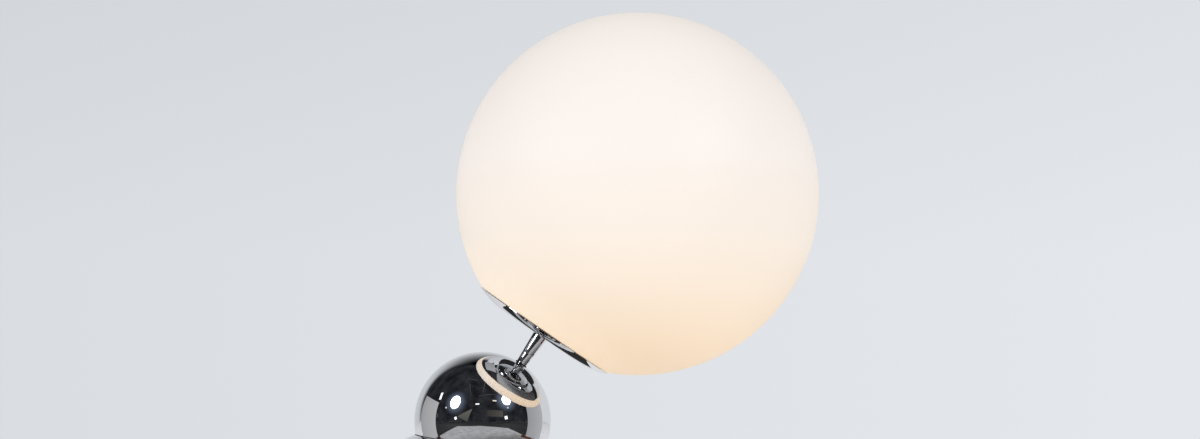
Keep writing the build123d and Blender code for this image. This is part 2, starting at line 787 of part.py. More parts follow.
holder_floor_z = glass_flat + holder_floor
with BuildPart() as holder_body:
    with BuildSketch(head_side):
        band(holder_wall_r, holder_r, holder_cap_top, glass_flat + holder_top)
        band(2 * lead_r, holder_r, holder_floor_z - holder_floor_t, holder_floor_z)
        band(holder_wall_r - holder_t, holder_r, glass_flat + holder_top - holder_t, glass_flat + holder_top)
    revolve(axis=stem_axis)

# Threaded brass shell and the spring contact at its foot.
shell_in_r = lamp_cap_r + lamp_gap
with BuildPart() as holder_shell:
    with BuildSketch(head_side):
        band(shell_in_r, shell_in_r + shell_t, holder_floor_z, glass_flat + holder_top - holder_t)
        band(shell_in_r, holder_wall_r - slip, holder_floor_z, holder_floor_z + shell_rim)
    revolve(axis=stem_axis)

with BuildPart() as holder_contact:
    with BuildSketch(head_side):
        band(0, lamp_contact_r, holder_floor_z, lamp_low - lamp_gap - thread_gap)
        band(0, 2 * lead_r - slip, holder_floor_z - holder_floor_t, holder_floor_z)
    revolve(axis=stem_axis)

# ---------------------------------------------------------------- lamp
lamp_cap_top = lamp_low + lamp_cap_h
thread_top = lamp_cap_top - 2 * lamp_cap_h / 10
with BuildPart() as lamp_cap:
    with BuildSketch(head_side):
        band(0, lamp_cap_r, lamp_low + lamp_cap_h / 10, lamp_cap_top)
        for turn in range(lamp_thread_turns):
            groove_z = thread_top - turn * lamp_pitch
            outline(
                (lamp_cap_r + lamp_groove, groove_z - lamp_pitch / 2),
                (lamp_cap_r - lamp_groove, groove_z),
                (lamp_cap_r + lamp_groove, groove_z + lamp_pitch / 2),
                mode=Mode.SUBTRACT,
            )
    revolve(axis=stem_axis)

with BuildPart() as lamp_contact:
    with BuildSketch(head_side):
        outline(
            (0, lamp_low),
            (lamp_contact_r, lamp_low),
            (2 * lamp_contact_r, lamp_low + lamp_cap_h / 10),
            (0, lamp_low + lamp_cap_h / 10),
        )
    revolve(axis=stem_axis)

# White body that widens to the diffuser, the plate with the light source, and the opal diffuser.
lamp_body_z = glass_flat + lamp_body_top
with BuildPart() as lamp_body:
    with BuildSketch(head_side):
        outline(
            (0, lamp_cap_top),
            (lamp_body_low_r, lamp_cap_top),
            (lamp_r, lamp_body_z),
            (lamp_r - lamp_wall, lamp_body_z),
            (lamp_body_low_r - lamp_wall, lamp_cap_top + lamp_wall),
            (0, lamp_cap_top + lamp_wall),
        )
    revolve(axis=stem_axis)

led_r = lamp_r - 2.5 * lamp_wall
led_z = lamp_body_z - led_plate_t - lamp_wall
with BuildPart() as led_plate:
    with BuildSketch(head.offset(led_z)):
        Circle(led_r)
    extrude(amount=led_plate_t)
    with BuildSketch(head.offset(led_z + led_plate_t)):
        with PolarLocations(led_r / 2, 8):
            Rectangle(2 * led_plate_t, 2 * led_plate_t)
    extrude(amount=led_plate_t / 2)

with BuildPart() as lamp_diffuser:
    with BuildSketch(head_side):
        with Locations((0, lamp_body_z)):
            Circle(lamp_r)
            Circle(lamp_r - lamp_wall, mode=Mode.SUBTRACT)
            Rectangle(lamp_r, lamp_r, align=(Align.MIN, Align.MIN), mode=Mode.INTERSECT)
    revolve(axis=stem_axis)

# ---------------------------------------------------------------- globe
# Opal glass: a round shell with a flat ring below it and a short neck inside the cap.
glass_in_r = globe_r - glass_t
with BuildPart() as globe_glass:
    with BuildSketch(head_side):
        with Locations((0, globe_reach)):
            Circle(globe_r)
            Circle(glass_in_r, mode=Mode.SUBTRACT)
        band(0, 2 * globe_r, glass_flat, globe_reach + 2 * globe_r, mode=Mode.INTERSECT)
        band(neck_r - neck_t, mouth_r, glass_flat, glass_flat + glass_t)
        band(neck_r - neck_t, neck_r, glass_flat - neck_drop, glass_flat + glass_t)
    revolve(axis=stem_axis)

# ---------------------------------------------------------------- leads inside the lamp
# From the terminals through the groove to the foot of the post.
groove_floor = ballast_top - groove_depth
groove_z = groove_floor + lead_r + glass_gap
terminal_z = ballast_top + terminal_h / 2
terminal_front = terminal_offset_y - terminal_d / 2
with BuildPart() as base_lead:
    with BuildLine() as base_route:
        FilletPolyline(
            (ball_x, 0, ball_z + post_low - glass_gap),
            (ball_x, 0, groove_z),
            (ball_x, groove_len - 7 * lead_r, groove_z),
            (ball_x, groove_len - 2 * lead_r, terminal_z),
            (ball_x, terminal_front, terminal_z),
            radius=[3.5 * lead_r, 3 * lead_r, 2 * lead_r],
        )
    with BuildSketch(Plane(base_route.line @ 0, z_dir=base_route.line % 0)):
        Circle(lead_r)
    sweep()

# From the terminals over the ballast to the switch.
terminal_side = terminal_x - terminal_w / 2
switch_foot = switch.from_local_coords(Vector(0, 0, switch_body_low))
switch_drop = switch.from_local_coords(Vector(0, 0, switch_body_low - 8 * switch_lead_r))
with BuildPart() as switch_lead:
    with BuildLine() as switch_route:
        FilletPolyline(
            switch_foot,
            switch_drop,
            (switch_drop.X * 0.75, terminal_offset_y, terminal_z),
            (terminal_side, terminal_offset_y, terminal_z),
            radius=6 * switch_lead_r,
        )
    with BuildSketch(Plane(switch_route.line @ 0, z_dir=switch_route.line % 0)):
        Circle(switch_lead_r)
    sweep()

# Up the post, out of its window and round to the tilt axis, where its rounded end meets the next.
lead_bend = 3.5 * lead_r
with BuildPart() as post_lead:
    with BuildLine() as post_route:
        FilletPolyline(
            post.from_local_coords(Vector(0, 0, post_low + glass_gap)),
            post.from_local_coords(Vector(0, 0, window_low - 1.5 * lead_r)),
            post.from_local_coords(Vector(0, lead_side, window_low + 9 * lead_r)),
            post.from_local_coords(Vector(0, lead_side, -lead_joint)),
            radius=lead_bend,
        )
    with BuildSketch(Plane(post_route.line @ 0, z_dir=post_route.line % 0)):
        Circle(lead_r)
    sweep()
    with Locations(post_route.line @ 1):
        Sphere(lead_r)

# From the tilt axis into the fork's boss and up the stem to the lampholder.
window_z = boss_bore_low + boss_window_h / 2
with BuildPart() as head_lead:
    with BuildLine() as head_route:
        FilletPolyline(
            head.from_local_coords(Vector(0, lead_side, lead_joint)),
            head.from_local_coords(Vector(0, lead_side, window_z - 7 * lead_r)),
            head.from_local_coords(Vector(0, 0, window_z + 1.7 * lead_r)),
            head.from_local_coords(Vector(0, 0, holder_floor_z - holder_floor_t)),
            radius=lead_bend,
        )
    with BuildSketch(Plane(head_route.line @ 0, z_dir=head_route.line % 0)):
        Circle(lead_r)
    sweep()
    with Locations(head_route.line @ 0):
        Sphere(lead_r)

# ---------------------------------------------------------------- files, one for each piece
pieces = {
    "base_dome": base_dome,
    "base_plate": base_plate,
    "foot_pad": foot_pad,
    "ballast_disc": ballast_disc,
    "base_screws": base_screws,
    "ballast_bolts": ballast_bolts,
    "seat_ring": seat_ring,
    "post_housing": post_housing,
    "housing_screws": housing_screws,
    "swivel_bush_upper": swivel_bush_upper,
    "swivel_bush_lower": swivel_bush_lower,
    "thrust_washer": thrust_washer,
    "inlet_bush": inlet_bush,
    "inlet_nut": inlet_nut,
    "switch_body": switch_body,
    "switch_bezel": switch_bezel,
    "switch_button": switch_button,
    "terminal_block": terminal_block,
    "terminal_screws": terminal_screws,
    "swivel_post": swivel_post,
    "post_washer": post_washer,
    "post_nut": post_nut,
    "tilt_fork": tilt_fork,
    "tilt_pin": tilt_pin,
    "tilt_nut": tilt_nut,
    "friction_washers": friction_washers,
    "spring_washers": spring_washers,
    "ball_shell": ball_shell,
    "stem_washer": stem_washer,
    "stem_sleeve_lower": stem_sleeve_lower,
    "stem_sleeve_upper": stem_sleeve_upper,
    "stem_core": stem_core,
    "globe_cap": globe_cap,
    "cap_gasket": cap_gasket,
    "gallery_spacer": gallery_spacer,
    "gallery_plate": gallery_plate,
    "gallery_nut": gallery_nut,
    "globe_clips": globe_clips,
    "clip_rivets": clip_rivets,
    "holder_cap": holder_cap,
    "holder_body": holder_body,
    "holder_shell": holder_shell,
    "holder_contact": holder_contact,
    "lamp_cap": lamp_cap,
    "lamp_contact": lamp_contact,
    "lamp_body": lamp_body,
    "led_plate": led_plate,
    "lamp_diffuser": lamp_diffuser,
    "globe_glass": globe_glass,
    "base_lead": base_lead,
    "switch_lead": switch_lead,
    "post_lead": post_lead,
    "head_lead": head_lead,
}
os.makedirs("parts", exist_ok=True)
for name, piece in pieces.items():
    piece.part.label = name
    export_step(piece.part, f"parts/{name}.step")
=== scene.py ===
"""Looks of the glass globe table lamp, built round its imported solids. The pieces that show are turned again
here as fine meshes with true normals. The others keep their solid's mesh and get a material."""

import json
from math import asin, atan2, ceil, cos, degrees, pi, radians, sin, sqrt

import bpy
from mathutils import Matrix, Vector

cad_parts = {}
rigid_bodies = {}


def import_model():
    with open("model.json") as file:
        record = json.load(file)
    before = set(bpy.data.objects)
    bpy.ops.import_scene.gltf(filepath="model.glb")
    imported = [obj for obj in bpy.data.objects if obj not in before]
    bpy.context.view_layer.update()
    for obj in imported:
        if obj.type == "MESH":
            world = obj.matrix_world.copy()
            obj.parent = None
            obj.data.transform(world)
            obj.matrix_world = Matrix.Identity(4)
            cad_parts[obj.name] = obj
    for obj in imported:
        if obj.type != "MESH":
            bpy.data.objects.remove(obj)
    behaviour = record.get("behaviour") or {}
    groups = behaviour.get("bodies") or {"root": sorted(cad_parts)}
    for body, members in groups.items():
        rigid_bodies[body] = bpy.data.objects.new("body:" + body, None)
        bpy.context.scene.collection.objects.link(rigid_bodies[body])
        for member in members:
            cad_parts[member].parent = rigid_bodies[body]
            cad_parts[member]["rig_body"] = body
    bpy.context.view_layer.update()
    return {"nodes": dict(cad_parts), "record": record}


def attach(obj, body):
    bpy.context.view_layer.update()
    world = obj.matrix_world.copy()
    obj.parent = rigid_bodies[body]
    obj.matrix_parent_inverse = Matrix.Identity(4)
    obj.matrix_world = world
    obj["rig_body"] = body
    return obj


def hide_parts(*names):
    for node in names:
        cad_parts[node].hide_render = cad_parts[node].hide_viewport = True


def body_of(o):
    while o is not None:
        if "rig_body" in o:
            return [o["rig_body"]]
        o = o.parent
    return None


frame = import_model()
nodes = frame["nodes"]

# ---------------------------------------------------------------- sizes of the solids, in metres
MM = 0.001
LEAN_DEGREES = 34.4
LEAN = radians(LEAN_DEGREES)
STEM = Vector((sin(LEAN), 0, cos(LEAN)))
BALL = Vector((20.3, 0, 158.6014)) * MM
BALL_R = 75 * MM
BALL_T = 1.5 * MM
DOME = Vector((0, 0, 3)) * MM
DOME_R = 150 * MM
DOME_T = 1.5 * MM
GLOBE_R = 200 * MM
GLASS_T = 2.6 * MM
GLASS_FLAT = 120.51 * MM
GLOBE_REACH = 302.199 * MM
GLOBE = BALL + STEM * GLOBE_REACH
MOUTH_R = 83.6 * MM
CAP_UNDER = 112.11 * MM
CAP_R = 84.5 * MM
CAP_FLAT_R = 50 * MM
CAP_CURVE_R = 86.26 * MM
CAP_T = 1.2 * MM
SEAT = (BALL - DOME).normalized()
SEAT_REACH = (BALL - DOME).length
SEAT_HOLE_R = 72.0 * MM
HATCH_LEAN = radians(LEAN_DEGREES - 25)
HATCH_R = BALL_R * sin(radians(36))
CORE_HOLE_R = 5.1 * MM


def basis(axis):
    """A 3x3 matrix whose columns are two directions square to the axis, and the axis."""
    w = Vector(axis).normalized()
    hint = Vector((1, 0, 0))
    u = (hint - w * hint.dot(w)).normalized()
    return Matrix((u, w.cross(u), w)).transposed()


# ---------------------------------------------------------------- turned meshes
def arc(centre, radius, start, end, step):
    """Points along an arc, angles in degrees, about this many degrees apart."""
    count = max(2, ceil(abs(end - start) / step))
    return [
        (
            centre[0] + radius * cos(radians(start + (end - start) * i / count)),
            centre[1] + radius * sin(radians(start + (end - start) * i / count)),
        )
        for i in range(count + 1)
    ]


BEND_STEPS = 5


def rounded(points):
    """The closed outline with its corners rounded: a point with a third number has that radius."""
    out = []
    n = len(points)
    for i, p in enumerate(points):
        here = Vector(p[:2])
        size = p[2] if len(p) > 2 else 0
        if not size:
            out.append(here)
            continue
        a = (Vector(points[i - 1][:2]) - here).normalized()
        b = (Vector(points[(i + 1) % n][:2]) - here).normalized()
        half = a.angle(b) / 2
        reach = size / sin(half)
        middle = here + (a + b).normalized() * reach
        first = here + a * size * cos(half) / sin(half)
        last = here + b * size * cos(half) / sin(half)
        t0 = atan2(*(first - middle).yx)
        t1 = atan2(*(last - middle).yx)
        turn = (t1 - t0 + pi) % (2 * pi) - pi
        for k in range(BEND_STEPS + 1):
            t = t0 + turn * k / BEND_STEPS
            out.append(middle + Vector((cos(t), sin(t))) * size)
    return out


def make_mesh(name, verts, faces, normals):
    """A mesh object with one normal for each corner of each face."""
    mesh = bpy.data.meshes.new(name)
    mesh.from_pydata(verts, [], faces)
    mesh.update()
    for polygon in mesh.polygons:
        polygon.use_smooth = True
    mesh.normals_split_custom_set(normals)
    made = bpy.data.objects.new(name, mesh)
    bpy.context.scene.collection.objects.link(made)
    return made


CRISP_CORNER = radians(25)
ON_AXIS = 1e-7
ON_BALL = 2e-6


def turned(name, origin, axis, outline, segments, balls=()):
    """Revolves a closed outline of (radius, height) points, listed with the solid on the left.
    Its sharper corners stay crisp. `balls` are (height, radius) of spheres on the axis."""
    points = [Vector(p[:2]) for p in outline]
    n = len(points)
    flat = []
    for i in range(n):
        d = (points[(i + 1) % n] - points[i]).normalized()
        flat.append(Vector((d.y, -d.x)))

    def corner_normal(edge, point):
        other = (edge - 1 if point == edge else edge + 1) % n
        if flat[edge].angle(flat[other]) > CRISP_CORNER:
            normal = flat[edge]
        else:
            normal = (flat[edge] + flat[other]).normalized()
        r, h = points[point % n]
        for height, radius in balls:
            out = Vector((r, h - height))
            if abs(out.length - radius) < ON_BALL and abs(normal.dot(out.normalized())) > 0.99:
                return out.normalized() * (1 if normal.dot(out) > 0 else -1)
        return normal

    m = basis(axis)
    verts, rings = [], []
    for p in points:
        if p.x < ON_AXIS:
            rings.append([len(verts)] * segments)
            verts.append(origin + m @ Vector((0, 0, p.y)))
        else:
            rings.append(list(range(len(verts), len(verts) + segments)))
            for j in range(segments):
                a = 2 * pi * j / segments
                verts.append(origin + m @ Vector((p.x * cos(a), p.x * sin(a), p.y)))
    faces, normals = [], []
    for e in range(n):
        low, high = rings[e], rings[(e + 1) % n]
        n_low, n_high = corner_normal(e, e), corner_normal(e, e + 1)
        for j in range(segments):
            k = (j + 1) % segments
            face = []
            corners = ((low, j, n_low), (low, k, n_low), (high, k, n_high), (high, j, n_high))
            for ring, spot, normal in corners:
                if ring[spot] in [f[0] for f in face]:
                    continue
                a = 2 * pi * spot / segments
                if ring[0] == ring[1]:
                    a = 2 * pi * (j + 0.5) / segments
                face.append((ring[spot], m @ Vector((normal.x * cos(a), normal.x * sin(a), normal.y))))
            if len(face) < 3:
                continue
            faces.append([f[0] for f in face])
            normals += [f[1] for f in face]
    return make_mesh(name, verts, faces, normals)


# ---------------------------------------------------------------- node helpers
class Graph:
    """Short forms for making and linking shader nodes."""

    def __init__(self, tree):
        self.tree = tree
        tree.nodes.clear()

    def node(self, kind, **settings):
        made = self.tree.nodes.new("ShaderNode" + kind)
        for key, value in settings.items():
            setattr(made, key, value)
        return made

    def put(self, socket, value):
        if isinstance(value, bpy.types.NodeSocket):
            self.tree.links.new(value, socket)
        else:
            socket.default_value = value

    def math(self, operation, *values):
        made = self.node("Math", operation=operation)
        for socket, value in zip(made.inputs, values):
            self.put(socket, value)
        return made.outputs[0]

    def mix(self, fac, a, b, blend="MIX"):
        made = self.node("MixRGB", blend_type=blend)
        for socket, value in zip(made.inputs, (fac, a, b)):
            if isinstance(value, tuple) and len(value) == 3:
                value = (*value, 1)
            self.put(socket, value)
        return made.outputs[0]

    def span(self, value, low, high, to_low=0.0, to_high=1.0, smooth=False):
        made = self.node("MapRange", interpolation_type="SMOOTHSTEP" if smooth else "LINEAR")
        for socket, item in zip(made.inputs, (value, low, high, to_low, to_high)):
            self.put(socket, item)
        return made.outputs[0]

    def noise(self, where, scale, detail=3.0, roughness=0.5, squeeze=None):
        if squeeze:
            mapped = self.node("Mapping")
            self.put(mapped.inputs["Vector"], where)
            mapped.inputs["Scale"].default_value = squeeze
            where = mapped.outputs[0]
        made = self.node("TexNoise")
        self.put(made.inputs["Vector"], where)
        made.inputs["Scale"].default_value = scale
        made.inputs["Detail"].default_value = detail
        made.inputs["Roughness"].default_value = roughness
        return made.outputs["Fac"]

    def ramp(self, value, stops):
        made = self.node("ValToRGB")
        self.put(made.inputs[0], value)
        elements = made.color_ramp.elements
        while len(elements) < len(stops):
            elements.new(0.5)
        for element, (place, colour) in zip(elements, stops):
            element.position = place
            element.color = (*colour, 1)
        return made.outputs[0]

    def bump(self, height, distance):
        made = self.node("Bump")
        made.inputs["Strength"].default_value = 1.0
        made.inputs["Distance"].default_value = distance
        self.put(made.inputs["Height"], height)
        return made.outputs[0]


def new_material(name):
    made = bpy.data.materials.new(name)
    made.use_nodes = True
    graph = Graph(made.node_tree)
    shader = graph.node("BsdfPrincipled")
    graph.put(graph.node("OutputMaterial").inputs["Surface"], shader.outputs[0])
    where = graph.node("TexCoord").outputs["Object"]
    return made, graph, shader, where


def srgb(*values):
    """Linear numbers of a colour written 0 to 255."""
    return tuple((v / 255 / 12.92) if v < 11 else ((v / 255 + 0.055) / 1.055) ** 2.4 for v in values)


def surface(name, light, dark, metallic, rough, grain, height, squeeze=None):
    """A plain finish with the detail that each has: two tones, uneven gloss and a fine relief."""
    made, g, shader, where = new_material(name)
    fine = g.noise(where, grain, 6.0, 0.6, squeeze)
    broad = g.noise(where, grain / 14, 3.0, 0.5)
    tone = g.math("ADD", g.math("MULTIPLY", fine, 0.6), g.math("MULTIPLY", broad, 0.4))
    g.put(shader.inputs["Base Color"], g.ramp(tone, [(0.3, dark), (0.7, light)]))
    g.put(shader.inputs["Roughness"], g.span(fine, 0.3, 0.7, rough[0], rough[1]))
    g.put(shader.inputs["Normal"], g.bump(fine, height))
    shader.inputs["Metallic"].default_value = metallic
    return made


# ---------------------------------------------------------------- materials
CHROME_DEEP = (0.78, 0.785, 0.80)
CHROME_PALE = (0.84, 0.845, 0.855)
OPAL_CLEAR = (0.60, 0.585, 0.565)
OPAL_SEED = (0.54, 0.52, 0.49)
GLOW_STRENGTH = 1.0
# painted light: the globe's emission is a ramp by height, brighter and warmer low down, with an extra glow
# near the mouth where the lamp sits
MOUTH_GLOW = (0.12, 0.11, 0.10)
GLOW = [
    (0.08, (0.50, 0.31, 0.12)),
    (0.35, (0.44, 0.34, 0.24)),
    (0.6, (0.37, 0.31, 0.27)),
    (1.0, (0.22, 0.17, 0.13)),
]


def chrome():
    """Polished plate: a true mirror with a breath of haze, faint wipe marks and a soft waviness."""
    made, g, shader, where = new_material("chrome")
    haze = g.noise(where, 9.0, 5.0, 0.6)
    wipe = g.noise(where, 60.0, 4.0, 0.7, (1.0, 0.25, 3.0))
    gloss = g.math("ADD", g.span(haze, 0.35, 0.75, 0.018, 0.045), g.span(wipe, 0.5, 0.8, 0.0, 0.02))
    g.put(shader.inputs["Roughness"], gloss)
    g.put(shader.inputs["Base Color"], g.mix(haze, CHROME_DEEP, CHROME_PALE))
    g.put(shader.inputs["Normal"], g.bump(g.noise(where, 14.0, 1.0, 0.4), 0.00006))
    shader.inputs["Metallic"].default_value = 1.0
    return made


def opal():
    """White opal glass lit from inside, its glow painted by height as painted light: warm low down, cooler
    and dimmer above, brighter near the mouth; satin with soft highlights.
    """
    made, g, shader, where = new_material("opal_glass")
    place = g.node("SeparateXYZ")
    g.put(place.inputs[0], where)
    height = g.span(place.outputs["Z"], GLOBE.z - GLOBE_R, GLOBE.z + GLOBE_R)
    cloud = g.noise(where, 5.0, 3.0, 0.5)
    height = g.math("ADD", height, g.span(cloud, 0.3, 0.7, -0.012, 0.012))
    # painted light: the glow rises and falls with height
    glow = g.ramp(height, GLOW)
    along = g.node("VectorMath", operation="DOT_PRODUCT")
    g.put(along.inputs[0], where)
    along.inputs[1].default_value = STEM
    reach = STEM.dot(GLOBE)
    # painted light: extra glow towards the mouth, near the lamp
    near_mouth = g.span(along.outputs["Value"], reach - 0.70 * GLOBE_R, reach - 0.92 * GLOBE_R)
    glow = g.mix(g.math("POWER", near_mouth, 1.5), glow, g.mix(1.0, glow, MOUTH_GLOW, "ADD"))
    g.put(shader.inputs["Emission Color"], glow)
    shader.inputs["Emission Strength"].default_value = GLOW_STRENGTH
    seeds = g.noise(where, 420.0, 2.0, 0.5)
    g.put(shader.inputs["Base Color"], g.mix(g.span(seeds, 0.68, 0.8), OPAL_CLEAR, OPAL_SEED))
    g.put(shader.inputs["Roughness"], g.span(cloud, 0.3, 0.7, 0.36, 0.44))
    g.put(shader.inputs["Normal"], g.bump(cloud, 0.0004))
    shader.inputs["IOR"].default_value = 1.5
    shader.inputs["Specular IOR Level"].default_value = 0.0
    shader.inputs["Coat Weight"].default_value = 0.9
    shader.inputs["Coat Roughness"].default_value = 0.55
    return made


CHROME = chrome()
OPAL = opal()
NYLON = surface(
    "black_nylon", (0.030, 0.030, 0.032), (0.014, 0.014, 0.015), 0, (0.38, 0.55), 900, 0.00003
)
FELT = surface("black_felt", (0.045, 0.045, 0.048), (0.010, 0.010, 0.011), 0, (0.9, 1.0), 1600, 0.0006)
ZINC = surface("zinc_steel", (0.64, 0.65, 0.67), (0.46, 0.47, 0.50), 1, (0.22, 0.42), 260, 0.00002)
SPRING = surface(
    "spring_steel", (0.52, 0.53, 0.55), (0.34, 0.34, 0.36), 1, (0.25, 0.4), 300, 0.00002, (1, 9, 1)
)
IRON = surface("cast_iron", (0.040, 0.040, 0.042), (0.012, 0.012, 0.012), 0.2, (0.55, 0.8), 500, 0.0004)
BRONZE = surface("bearing_bronze", (0.60, 0.42, 0.22), (0.38, 0.25, 0.13), 1, (0.35, 0.55), 700, 0.00004)
LINING = surface(
    "friction_lining", (0.17, 0.12, 0.08), (0.08, 0.06, 0.045), 0, (0.8, 0.95), 1400, 0.00008
)
SILICONE = surface(
    "clear_silicone", (0.80, 0.80, 0.78), (0.70, 0.70, 0.68), 0, (0.3, 0.45), 400, 0.00003
)
HOLDER = surface("white_holder", (0.84, 0.83, 0.80), (0.76, 0.75, 0.71), 0, (0.28, 0.4), 600, 0.00002)
BRASS = surface("brass", (0.80, 0.60, 0.30), (0.60, 0.42, 0.18), 1, (0.2, 0.38), 300, 0.00002)
NICKEL = surface("nickel_brass", (0.72, 0.70, 0.66), (0.55, 0.53, 0.49), 1, (0.2, 0.34), 300, 0.00002)
LAMP_WHITE = surface("lamp_white", (0.88, 0.88, 0.86), (0.80, 0.80, 0.78), 0, (0.25, 0.36), 500, 0.00002)
ALUMINIUM = surface(
    "aluminium", (0.78, 0.79, 0.80), (0.60, 0.61, 0.62), 1, (0.3, 0.5), 400, 0.00003, (1, 8, 1)
)
SHEATH = surface("lead_sheath", (0.82, 0.81, 0.78), (0.72, 0.71, 0.68), 0, (0.3, 0.42), 700, 0.00003)


def diffuser():
    """The lamp's own dome, softly lit."""
    made, g, shader, where = new_material("lamp_opal")
    cloud = g.noise(where, 60.0, 3.0, 0.5)
    g.put(shader.inputs["Base Color"], g.mix(cloud, (0.86, 0.84, 0.80), (0.92, 0.90, 0.87)))
    g.put(shader.inputs["Emission Color"], g.mix(cloud, (1.0, 0.84, 0.62), (1.0, 0.90, 0.72)))
    shader.inputs["Emission Strength"].default_value = 0.6
    g.put(shader.inputs["Roughness"], g.span(cloud, 0.3, 0.7, 0.4, 0.5))
    return made


LAMP_OPAL = diffuser()

# every node's material, by the record's slots
SLOTS = {
    "chrome": CHROME,
    "opal_glass": OPAL,
    "black_nylon": NYLON,
    "felt": FELT,
    "zinc_steel": ZINC,
    "spring_steel": SPRING,
    "cast_iron": IRON,
    "bearing_bronze": BRONZE,
    "friction_lining": LINING,
    "clear_silicone": SILICONE,
    "white_holder": HOLDER,
    "brass": BRASS,
    "nickel_brass": NICKEL,
    "lamp_white": LAMP_WHITE,
    "lamp_opal": LAMP_OPAL,
    "aluminium": ALUMINIUM,
    "lead_sheath": SHEATH,
}
node_slots = {row["node"]: row["material_slot"] for row in frame["record"]["subparts"]}
for name, node in nodes.items():
    node.data.materials.clear()
    node.data.materials.append(SLOTS[node_slots[name]])


def dress(piece, node):
    """This piece stands for that node: its body, its slot and its finish."""
    piece.data.materials.append(SLOTS[node_slots[node]])
    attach(piece, body_of(nodes[node])[0])
    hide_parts(node)
    return piece


# ---------------------------------------------------------------- globe
def glass():
    """The round shell, its flat ring with a soft outer bend, and the neck inside the cap."""
    inner = GLOBE_R - GLASS_T
    edge = degrees(asin(MOUTH_R / GLOBE_R))
    inside = degrees(asin((MOUTH_R - 1.3 * GLASS_T) / inner))
    centre = (0, GLOBE_REACH)
    outer_arc = arc(centre, GLOBE_R, edge - 90, 90, 1.5)
    inner_arc = arc(centre, inner, 90, inside - 90, 3)
    low = GLASS_FLAT
    neck = 70 * MM
    neck_low = low - 3.5 * MM
    bore = neck - 3 * MM
    top = low + GLASS_T
    outline = [
        (bore, neck_low, 0.9 * MM),
        (neck, neck_low, 0.9 * MM),
        (neck, low, 0.5 * MM),
        (outer_arc[0][0], low, 0.7 * MM),
        *outer_arc[1:-1],
        (0, GLOBE_REACH + GLOBE_R),
        (0, GLOBE_REACH + inner),
        *inner_arc[1:-1],
        (inner_arc[-1][0], top, 0.8 * MM),
        (bore, top, 0.8 * MM),
    ]
    return turned(
        "globe", BALL, STEM, rounded(outline), 256, balls=((GLOBE_REACH, GLOBE_R), (GLOBE_REACH, inner))
    )


dress(glass(), "globe_glass")


# ---------------------------------------------------------------- cap
def cap():
    """The dish with its curve up to a thin upright lip."""
    turn = degrees(asin((CAP_R - CAP_FLAT_R) / CAP_CURVE_R))
    centre = (CAP_FLAT_R, CAP_UNDER + CAP_CURVE_R)
    outer_arc = arc(centre, CAP_CURVE_R, -90, turn - 90, 1.5)
    inner_r = CAP_CURVE_R - CAP_T
    inner_turn = degrees(asin((CAP_R - CAP_T - CAP_FLAT_R) / inner_r))
    inner_arc = arc(centre, inner_r, inner_turn - 90, -90, 2.5)
    top = GLASS_FLAT - 0.3 * MM
    outline = [
        (CORE_HOLE_R, CAP_UNDER, 0.2 * MM),
        *outer_arc,
        (CAP_R, top, 0.45 * MM),
        (CAP_R - CAP_T, top, 0.45 * MM),
        *inner_arc,
        (CORE_HOLE_R, CAP_UNDER + CAP_T, 0.2 * MM),
    ]
    return turned("cap", BALL, STEM, rounded(outline), 256)


dress(cap(), "globe_cap")

# ---------------------------------------------------------------- stem
SEAM = 88.4 * MM
SEAM_INSET = 0.12 * MM
STEM_FOOT_R = 6.15 * MM
STEM_TOP_R = 8.8 * MM
STEM_RING_R = STEM_FOOT_R + 0.8 * MM
WASHER_LOW = sqrt(BALL_R**2 - CORE_HOLE_R**2)
STEM_LOW = WASHER_LOW + 0.8 * MM
SEAM_R = STEM_FOOT_R + (STEM_TOP_R - STEM_FOOT_R) * (SEAM - STEM_LOW) / (CAP_UNDER - STEM_LOW)
lower = [
    (CORE_HOLE_R, STEM_LOW),
    (STEM_FOOT_R, STEM_LOW, 0.15 * MM),
    (SEAM_R - 0.01 * MM, SEAM - SEAM_INSET, 0.1 * MM),
    (SEAM_R - SEAM_INSET, SEAM),
    (CORE_HOLE_R, SEAM),
]
dress(turned("stem_lower", BALL, STEM, rounded(lower), 96), "stem_sleeve_lower")
upper = [
    (CORE_HOLE_R, SEAM),
    (SEAM_R - SEAM_INSET, SEAM),
    (SEAM_R + 0.01 * MM, SEAM + SEAM_INSET, 0.1 * MM),
    (STEM_TOP_R, CAP_UNDER, 0.15 * MM),
    (CORE_HOLE_R, CAP_UNDER),
]
dress(turned("stem_upper", BALL, STEM, rounded(upper), 96), "stem_sleeve_upper")
washer = [
    (CORE_HOLE_R, WASHER_LOW),
    (STEM_RING_R, WASHER_LOW, 0.25 * MM),
    (STEM_RING_R, STEM_LOW, 0.25 * MM),
    (CORE_HOLE_R, STEM_LOW),
]
dress(turned("stem_foot_ring", BALL, STEM, rounded(washer), 96), "stem_washer")


# ---------------------------------------------------------------- ball
def ball():
    """The spun shell, turned round the axis of the opening that the base hides."""
    inner = BALL_R - BALL_T
    outer_end = degrees(asin(HATCH_R / BALL_R))
    inner_end = degrees(asin(HATCH_R / inner))
    outer_arc = arc((0, 0), BALL_R, outer_end - 90, 90, 1.5)
    inner_arc = arc((0, 0), inner, 90, inner_end - 90, 3)
    outline = [
        (*outer_arc[0], 0.3 * MM),
        *outer_arc[1:-1],
        (0, BALL_R),
        (0, inner),
        *inner_arc[1:-1],
        (*inner_arc[-1], 0.3 * MM),
    ]
    axis = (sin(HATCH_LEAN), 0, cos(HATCH_LEAN))
    return turned("ball", BALL, axis, rounded(outline), 256, balls=((0, BALL_R), (0, inner)))


dress(ball(), "ball_shell")


